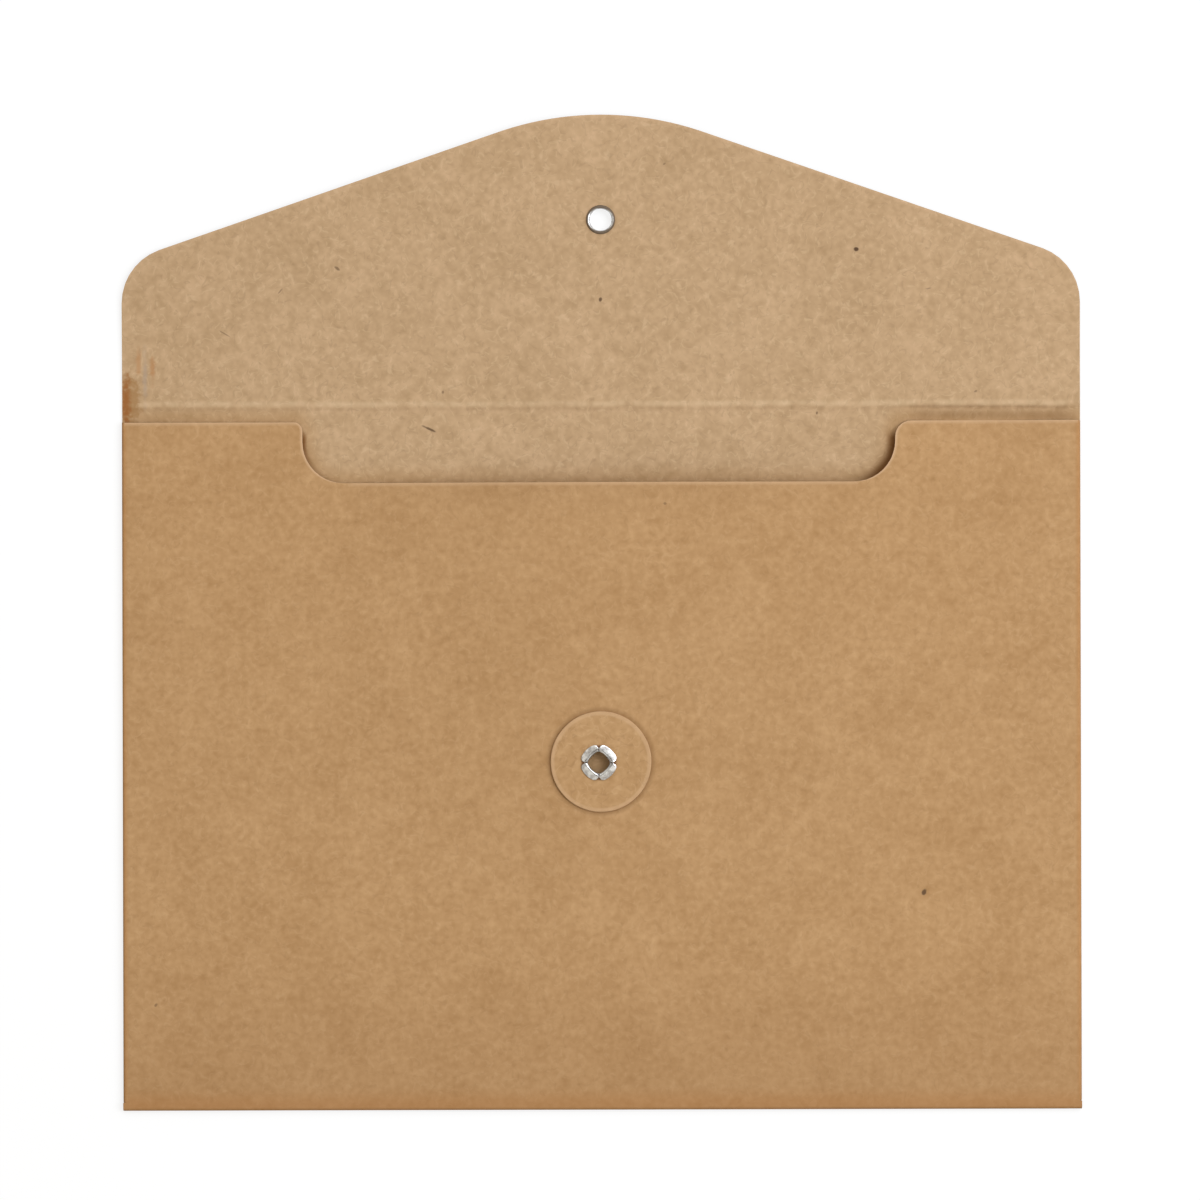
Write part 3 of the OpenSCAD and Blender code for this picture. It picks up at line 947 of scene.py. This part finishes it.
folded_card.data.materials.append(inside)
folded_card.data.materials.append(cut_edge)
thickness = folded_card.modifiers.new("thickness", "SOLIDIFY")
thickness.thickness = CARD * MM
thickness.offset = 0
thickness.material_offset = 1
thickness.material_offset_rim = 2
punches = []
for place_frame in (pocket_frame, flap_frame):
    punch_shape = bmesh.new()
    bmesh.ops.create_cone(
        punch_shape,
        cap_ends=True,
        segments=64,
        radius1=EYELET_HOLE_R,
        radius2=EYELET_HOLE_R,
        depth=2 * CARD,
        matrix=place_frame @ Matrix.Translation((0, 0, CARD / 2)),
    )
    punch = place_object("eyelet_punch", punch_shape)
    punch.data.materials.append(cut_edge)
    punches.append(punch)
    hole = folded_card.modifiers.new("hole", "BOOLEAN")
    hole.object = punch
    hole.solver = "EXACT"
    hole.material_mode = "TRANSFER"
soft_edge = folded_card.modifiers.new("soft_edge", "BEVEL")
soft_edge.width = SOFT_EDGE * MM
soft_edge.segments = 2
soft_edge.limit_method = "ANGLE"
soft_edge.angle_limit = math.radians(60)
keep_result(folded_card)
for punch in punches:
    bpy.data.objects.remove(punch)
shade_rounded(folded_card)
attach(folded_card, "root")
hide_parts("folded_sheet")

# Paper buttons
# Two discs die-cut from brown board, riveted to the outside of the pocket and of the flap. The
# press leaves each rim rounded and rubbed pale, and the eyelet draws the middle down a little. The
# pocket's disc was punched slightly off its centre.
BUTTON_R = 11.55
BUTTON_RIM_R = 0.2
BUTTON_DISH = 0.05
BUTTON_HOLE_R = 3.2
BUTTON_PALE_FROM = 10.5
PETAL_SHADE_R = 4.25
PETAL_SHADE_TONE = (0.13, 0.055, 0.03, 1.0)
DISC_STEPS = 160


def lathe(shape, profile, steps):
    """Turns a closed profile of (radius, height) round the Z axis."""
    rings = []
    for k in range(steps):
        turn = 2 * math.pi * k / steps
        rings.append([shape.verts.new((r * math.cos(turn), r * math.sin(turn), z)) for r, z in profile])
    for ring, following in zip(rings, rings[1:] + rings[:1]):
        for k in range(len(profile)):
            after = (k + 1) % len(profile)
            shape.faces.new((ring[k], following[k], following[after], ring[after]))
    bmesh.ops.recalc_face_normals(shape, faces=shape.faces)


board, tree, place, colour, shader = card_material(
    "button_board",
    turn=2.2,
    deep=(0.445, 0.252, 0.107, 1.0),
    pale=(0.6, 0.368, 0.18, 1.0),
    light_fibre=(0.67, 0.44, 0.24, 1.0),
    dark_fibre=(0.33, 0.18, 0.08, 1.0),
    strength=0.3,
    roughness=0.85,
)
rim = maths(tree, "MULTIPLY", painted_share(tree, "rim"), 0.4)
colour = mix_colour(tree, rim, colour, PALE_CORE)
# Painted shade on the board round the petals
petal_shade = painted_share(tree, "petal_shade")
colour = mix_colour(tree, maths(tree, "MULTIPLY", petal_shade, 0.75), colour, PETAL_SHADE_TONE)
tree.links.new(colour, shader.inputs["Base Color"])

button_under = CARD + SEAT_GAP
button_top = button_under + BUTTON_THICK
top_radii = (BUTTON_HOLE_R, 3.6, 3.8, 4.0, 4.2, 4.6, 5.4, 7.0, 9.0, 10.55, 10.75, 10.95, 11.15)
profile = [(r, button_top - BUTTON_DISH * smooth((6.5 - r) / 4)) for r in top_radii]
profile += [
    (
        BUTTON_R - BUTTON_RIM_R + BUTTON_RIM_R * math.sin(t),
        button_top - BUTTON_RIM_R + BUTTON_RIM_R * math.cos(t),
    )
    for t in evenly(0, math.pi / 2, 4)
]
profile += [
    (
        BUTTON_R - BUTTON_RIM_R + BUTTON_RIM_R * math.cos(t),
        button_under + BUTTON_RIM_R - BUTTON_RIM_R * math.sin(t),
    )
    for t in evenly(0, math.pi / 2, 4)
]
profile += [(BUTTON_HOLE_R, button_under)]
for name, place_frame in (("pocket_button", pocket_frame), ("flap_button", flap_frame)):
    disc_shape = bmesh.new()
    lathe(disc_shape, profile, DISC_STEPS)
    rim_layer = disc_shape.verts.layers.float.new("rim")
    petal_shade_layer = disc_shape.verts.layers.float.new("petal_shade")
    for corner in disc_shape.verts:
        radius = corner.co.xy.length
        corner[rim_layer] = smooth((radius - BUTTON_PALE_FROM) / 0.4)
        # Painted shade: how dark the board round the petals is painted
        corner[petal_shade_layer] = smooth((PETAL_SHADE_R - radius) / 0.5)
        if place_frame is pocket_frame:
            corner.co.xy -= smooth((radius - 4) / 5) * Vector(POCKET_EYELET_SHIFT)
    disc_shape.transform(place_frame)
    disc = place_object(name + "_disc", disc_shape)
    disc.data.materials.append(board)
    shade_rounded(disc)
    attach(disc, "root")
    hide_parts(name)

# Eyelets
# Tubular eyelets of nickel-plated steel. Each has a rolled flange against the card's inside, and a
# barrel through the card and the button, split into four petals that the setting tool bends out.
BORE_R = 2.5
EYELET_METAL = 0.25
FLANGE_R = 3.32
FLANGE_THICK = 0.4
PETAL_ROOT_X = 1.8
PETAL_ROOT_HALF = 1.62
PETAL_HALF = 2.0
PETAL_FLARE = 0.32
PETAL_BEND_R = 0.45
PETAL_SLOPE = math.radians(10)
SLIT = 0.12
PETAL_REACH = 4.1
PETAL_FLAT = 1.5
PETAL_TIP_HALF = 2.3
PETAL_TIP_ROUND = 0.25
PETAL_TIP_DROOP = 0.05
PETAL_SOFT_EDGE = 0.05
THROAT = 0.45
TUBE_OVERLAP = 0.1
TUBE_STEPS = 96
FLANGE_BRIGHT_REACH = 2.44
FLANGE_BRIGHT_SPREAD = 0.36
FLANGE_SHADE_OVER = 0.3
DULL_NICKEL = (0.56, 0.54, 0.53, 1.0)
BRIGHT_NICKEL = (0.93, 0.93, 0.92, 1.0)
FLANGE_SHADE_TONE = (0.16, 0.115, 0.075, 1.0)

nickel = bpy.data.materials.new("eyelet_nickel")
nickel.use_nodes = True
tree = nickel.node_tree
shader = tree.nodes["Principled BSDF"]
place = place_in_mm(tree)
drawn_out = vectors(tree, "MULTIPLY", place, (1.0, 6.0, 1.0))
scratches = noise_share(tree, drawn_out, 2.2, 3.0)
tarnish = noise_share(tree, place, 0.8, 1.0)
colour = mix_colour(tree, fade(tree, tarnish, 0.35, 0.6), DULL_NICKEL, BRIGHT_NICKEL)
# Painted dark reflection and shade: the flange's outer edge is painted a dull dark brown, less at its
# left and right
flange_shade = painted_share(tree, "flange_shade")
tree.links.new(mix_colour(tree, flange_shade, colour, FLANGE_SHADE_TONE), shader.inputs["Base Color"])
tree.links.new(maths(tree, "SUBTRACT", 1.0, flange_shade), shader.inputs["Metallic"])
roughness = fade(tree, scratches, 0.3, 0.7, 0.16, 0.34)
tree.links.new(maths(tree, "MULTIPLY_ADD", flange_shade, 0.4, roughness), shader.inputs["Roughness"])
bump = add_node(tree, "ShaderNodeBump", {"Height": scratches, "Strength": 0.2, "Distance": 2e-5})
tree.links.new(bump.outputs[0], shader.inputs["Normal"])

petal_axis_z = PETAL_FLAT * math.sin(PETAL_SLOPE)
petal_axis_z -= (PETAL_BEND_R - EYELET_METAL) * math.cos(PETAL_SLOPE)
stack_height = CARD + SEAT_GAP + BUTTON_THICK


def petal_column(across, pinch):
    """Points of a petal from throat to tip, at a share of -1 to 1 across it. Pinch squares its root."""
    y = across * PETAL_ROOT_HALF
    round_x = math.sqrt(BORE_R**2 - y**2)
    root_x = round_x + (PETAL_ROOT_X - round_x) * pinch
    column = []
    for t in evenly(0, 1, 5):
        x = round_x + (root_x - round_x) * smooth(t)
        column.append(Vector((x, y, -THROAT + (THROAT + petal_axis_z) * t)))
    for t in evenly(0, 1, 8)[1:]:
        turn = math.pi - (math.pi / 2 + PETAL_SLOPE) * t
        x = root_x + PETAL_BEND_R * (1 + math.cos(turn))
        half = PETAL_ROOT_HALF + (x - SLIT - PETAL_ROOT_HALF) * smooth(t)
        column.append(Vector((x, across * half, petal_axis_z + PETAL_BEND_R * math.sin(turn))))
    start = column[-1]
    tip_x = math.sqrt(PETAL_REACH**2 - (across * PETAL_TIP_HALF) ** 2) - PETAL_TIP_ROUND * across**8
    tip_y = across * (PETAL_HALF + PETAL_FLARE * (tip_x - PETAL_HALF))
    for t in evenly(0, 1, 7)[1:]:
        run = (tip_x - start.x) * t
        drop = run * math.tan(PETAL_SLOPE) + PETAL_TIP_DROOP * t**3
        column.append(Vector((start.x + run, start.y + (tip_y - start.y) * t, start.z - drop)))
    return column


def build_petal(pinch):
    """One set petal as an object of its own, with the thickness and soft edges of the metal."""
    shape = bmesh.new()
    grid = [[shape.verts.new(p) for p in petal_column(a, pinch)] for a in evenly(-1, 1, 16)]
    for left, right in zip(grid, grid[1:]):
        for k in range(len(left) - 1):
            shape.faces.new((left[k], left[k + 1], right[k + 1], right[k]))
    piece = place_object("petal", shape)
    wall = piece.modifiers.new("wall", "SOLIDIFY")
    wall.thickness = EYELET_METAL
    wall.offset = -1
    edge = piece.modifiers.new("edge", "BEVEL")
    edge.width = PETAL_SOFT_EDGE
    edge.segments = 2
    edge.limit_method = "ANGLE"
    edge.angle_limit = math.radians(50)
    keep_result(piece)
    return piece


petal_ring, given, result = geometry_tree("petal_ring", {"Petals": 4, "First turn": 0.0})
points = add_node(petal_ring, "GeometryNodePoints", {"Count": given["Petals"]}).outputs[0]
turn_step = maths(petal_ring, "DIVIDE", 2 * math.pi, given["Petals"])
index = petal_ring.nodes.new("GeometryNodeInputIndex").outputs[0]
turn = maths(petal_ring, "MULTIPLY_ADD", index, turn_step, given["First turn"])
spun = add_node(petal_ring, "ShaderNodeCombineXYZ", {"Z": turn}).outputs[0]
copies = add_node(
    petal_ring,
    "GeometryNodeInstanceOnPoints",
    {"Points": points, "Instance": given["Geometry"], "Rotation": spun},
).outputs[0]
finish_tree(petal_ring, copies, nickel, result)

# The flange is a full roll: a half oval that stands on the card's inside face
flange_middle = (BORE_R + FLANGE_R) / 2
flange_half = (FLANGE_R - BORE_R) / 2
tube_end = stack_height - THROAT + TUBE_OVERLAP
profile = [(BORE_R, tube_end)]
profile += [
    (flange_middle - flange_half * math.cos(t), -SEAT_GAP - FLANGE_THICK * math.sin(t))
    for t in evenly(0, math.pi, 18)
]
profile += [(BORE_R + EYELET_METAL, -SEAT_GAP), (BORE_R + EYELET_METAL, tube_end)]
for name, place_frame, pinch in (
    ("pocket_eyelet", pocket_frame, 0.5),
    ("flap_eyelet", flap_frame, 0.0),
):
    petals = build_petal(pinch)
    run_tree(petals, petal_ring, {"Petals": 4, "First turn": math.pi / 4})
    eyelet_shape = bmesh.new()
    eyelet_shape.from_mesh(petals.data)
    bpy.data.objects.remove(petals)
    eyelet_shape.transform(Matrix.Translation((0, 0, stack_height)))
    tube_shape = bmesh.new()
    lathe(tube_shape, profile, TUBE_STEPS)
    tube_mesh = bpy.data.meshes.new("tube")
    tube_shape.to_mesh(tube_mesh)
    tube_shape.free()
    eyelet_shape.from_mesh(tube_mesh)
    bpy.data.meshes.remove(tube_mesh)
    # Painted dark reflection and shade on the flange's outer edge, less at its left and right
    flange_shade_layer = eyelet_shape.verts.layers.float.new("flange_shade")
    for corner in eyelet_shape.verts:
        radius = corner.co.xy.length
        if corner.co.z < 0 and radius > BORE_R:
            bright_reach = FLANGE_BRIGHT_REACH + FLANGE_BRIGHT_SPREAD * (corner.co.x / radius) ** 2
            corner[flange_shade_layer] = smooth((radius - bright_reach) / FLANGE_SHADE_OVER)
    eyelet_shape.transform(place_frame)
    eyelet = place_object(name + "_metal", eyelet_shape)
    eyelet.data.materials.clear()
    eyelet.data.materials.append(nickel)
    shade_rounded(eyelet)
    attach(eyelet, "root")
    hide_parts(name)

# Floor
# A white table top that fades out as plain white for the camera and for the metal's reflections,
# while the part of it that is lit keeps the envelope's shadow.
FLOOR_HALF = 4.0
FLOOR_LIT = 0.28
FLOOR_WHITE = 1.03
FLOOR_GAP = 1e-5

floor_shape = bmesh.new()
bmesh.ops.create_grid(floor_shape, x_segments=1, y_segments=1, size=FLOOR_HALF)
floor_shape.transform(Matrix.Translation((0, 0, -FLOOR_GAP)))
floor = place_object("table_top", floor_shape)
white = bpy.data.materials.new("white_table")
white.use_nodes = True
tree = white.node_tree
tree.nodes.clear()
rays = tree.nodes.new("ShaderNodeLightPath").outputs
seen = maths(tree, "MAXIMUM", rays["Is Camera Ray"], rays["Is Glossy Ray"])
seen = maths(tree, "MAXIMUM", seen, rays["Is Transmission Ray"])
lit = add_node(tree, "ShaderNodeBsdfDiffuse", {"Color": (FLOOR_LIT, FLOOR_LIT, FLOOR_LIT, 1.0)})
glow = add_node(
    tree, "ShaderNodeEmission", {"Strength": maths(tree, "MULTIPLY", seen, FLOOR_WHITE - FLOOR_LIT)}
)
both = add_node(tree, "ShaderNodeAddShader", {0: lit.outputs[0], 1: glow.outputs[0]})
add_node(tree, "ShaderNodeOutputMaterial", {"Surface": both.outputs[0]})
floor.data.materials.append(white)

# Light
# Two large cool windows, at the right and at the upper right, and a warm room that is brightest
# overhead, apart from the dark camera. A level face renders about in the colour that is written.
WINDOWS = (("right_window", math.radians(6), 9.8), ("upper_window", math.radians(68), 5.6))
WINDOW_ELEVATION = math.radians(48)
WINDOW_DISTANCE = 1.6
WINDOW_SIZE = 0.9
WINDOW_COLOUR = (1.0, 1.066, 1.186)
ROOM_COLOUR = (1.0, 0.95, 0.86)
ROOM_SIDES = 0.22
ROOM_ABOVE = 0.58
CAMERA_SHADE = 0.1
CAMERA_SHADE_EDGE = (0.955, 0.975)

for name, turn, power in WINDOWS:
    window_data = bpy.data.lights.new(name, "AREA")
    window_data.shape = "SQUARE"
    window_data.size = WINDOW_SIZE
    window_data.energy = power
    window_data.color = WINDOW_COLOUR
    window = bpy.data.objects.new(name, window_data)
    flat = math.cos(WINDOW_ELEVATION)
    to_window = Vector((flat * math.cos(turn), flat * math.sin(turn), math.sin(WINDOW_ELEVATION)))
    window.location = to_window * WINDOW_DISTANCE
    window.rotation_euler = to_window.to_track_quat("Z", "Y").to_euler()
    bpy.context.collection.objects.link(window)

room = bpy.data.worlds.new("room")
bpy.context.scene.world = room
room.use_nodes = True
tree = room.node_tree
direction = tree.nodes.new("ShaderNodeTexCoord").outputs["Generated"]
up = axes_of(tree, direction)["Z"]
level = maths(tree, "MULTIPLY_ADD", maths(tree, "MAXIMUM", up, 0.0), ROOM_ABOVE, ROOM_SIDES)
overhead = fade(tree, up, *CAMERA_SHADE_EDGE)
level = maths(tree, "MULTIPLY", level, maths(tree, "MULTIPLY_ADD", overhead, CAMERA_SHADE - 1, 1.0))
tree.links.new(level, tree.nodes["Background"].inputs["Strength"])
tree.nodes["Background"].inputs["Color"].default_value = (*ROOM_COLOUR, 1.0)

bpy.context.scene.view_settings.view_transform = "Standard"
